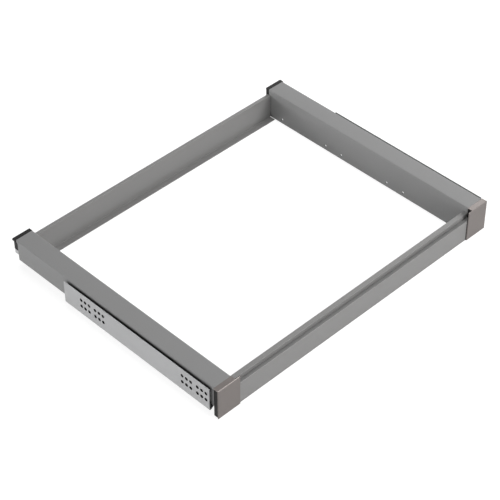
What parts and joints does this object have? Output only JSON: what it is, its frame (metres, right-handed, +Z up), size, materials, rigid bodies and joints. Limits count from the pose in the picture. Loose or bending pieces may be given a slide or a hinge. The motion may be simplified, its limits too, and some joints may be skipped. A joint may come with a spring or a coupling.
{
  "type": "pull out pantry frame",
  "caption": "Rectangular pull out base frame for a tall pantry cabinet: channel side bars, crossbars with ledges, corner caps and concealed full extension runners on perforated rails.",
  "frame": {"origin": "middle of the footprint, on the underside of the crossbars", "axes": "+X across the cabinet to the right seen from the door, -Y out toward the door, +Z up"},
  "size_m": [0.606, 0.4652, 0.0577],
  "materials": {
    "bar_paint": "satin grey powder coat",
    "crossbar_anodised": "satin anodised grey",
    "cap_champagne": "satin champagne grey",
    "moulded_black": "fine matte grain",
    "rail_zinc": "zinc plated, satin",
    "race_steel": "polished",
    "fastener_steel": "bright zinc",
    "buffer_rubber": "matte"
  },
  "bodies": {
    "cabinet_rails": {"cabinet_rail_left": "rail_zinc", "cabinet_rail_right": "rail_zinc", "lower_channel_left": "rail_zinc", "lower_channel_right": "rail_zinc", "lower_channel_rivets": "fastener_steel"},
    "frame": {"side_bar_left": "bar_paint", "side_bar_right": "bar_paint", "front_crossbar": "crossbar_anodised", "rear_crossbar": "crossbar_anodised", "front_cap_left": "cap_champagne", "front_cap_right": "cap_champagne", "front_corner_left": "moulded_black", "front_corner_right": "moulded_black", "rear_cap_left": "moulded_black", "rear_cap_right": "moulded_black", "front_crossbar_screws": "fastener_steel", "rear_crossbar_screws": "fastener_steel", "carrier_bracket_left": "rail_zinc", "carrier_bracket_right": "rail_zinc", "carrier_rivets": "fastener_steel", "upper_channel_left": "rail_zinc", "upper_channel_right": "rail_zinc", "upper_channel_rivets": "fastener_steel", "closing_buffers": "buffer_rubber"},
    "middle_runner_left": {"middle_rail_left": "rail_zinc", "middle_end_caps_left": "moulded_black"},
    "upper_race_left": {"upper_cage_left": "fastener_steel", "upper_balls_left": "race_steel"},
    "lower_race_left": {"lower_cage_left": "fastener_steel", "lower_balls_left": "race_steel"},
    "middle_runner_right": {"middle_rail_right": "rail_zinc", "middle_end_caps_right": "moulded_black"},
    "upper_race_right": {"upper_cage_right": "fastener_steel", "upper_balls_right": "race_steel"},
    "lower_race_right": {"lower_cage_right": "fastener_steel", "lower_balls_right": "race_steel"}
  },
  "joints": [
    {"name": "frame_slide", "type": "slide", "parent": "cabinet_rails", "child": "frame", "axis": [0, -1, 0], "range_m": [0, 0.45]},
    {"name": "middle_slide_left", "type": "slide", "parent": "cabinet_rails", "child": "middle_runner_left", "axis": [0, -1, 0], "range_m": [0, 0.225]},
    {"name": "upper_race_slide_left", "type": "slide", "parent": "cabinet_rails", "child": "upper_race_left", "axis": [0, -1, 0], "range_m": [0, 0.3375]},
    {"name": "lower_race_slide_left", "type": "slide", "parent": "cabinet_rails", "child": "lower_race_left", "axis": [0, -1, 0], "range_m": [0, 0.1125]},
    {"name": "middle_slide_right", "type": "slide", "parent": "cabinet_rails", "child": "middle_runner_right", "axis": [0, -1, 0], "range_m": [0, 0.225]},
    {"name": "upper_race_slide_right", "type": "slide", "parent": "cabinet_rails", "child": "upper_race_right", "axis": [0, -1, 0], "range_m": [0, 0.3375]},
    {"name": "lower_race_slide_right", "type": "slide", "parent": "cabinet_rails", "child": "lower_race_right", "axis": [0, -1, 0], "range_m": [0, 0.1125]}
  ],
  "couplings": [
    {"joint": "middle_slide_left", "follows": "frame_slide", "ratio": 0.5},
    {"joint": "upper_race_slide_left", "follows": "frame_slide", "ratio": 0.75},
    {"joint": "lower_race_slide_left", "follows": "frame_slide", "ratio": 0.25},
    {"joint": "middle_slide_right", "follows": "frame_slide", "ratio": 0.5},
    {"joint": "upper_race_slide_right", "follows": "frame_slide", "ratio": 0.75},
    {"joint": "lower_race_slide_right", "follows": "frame_slide", "ratio": 0.25}
  ]
}
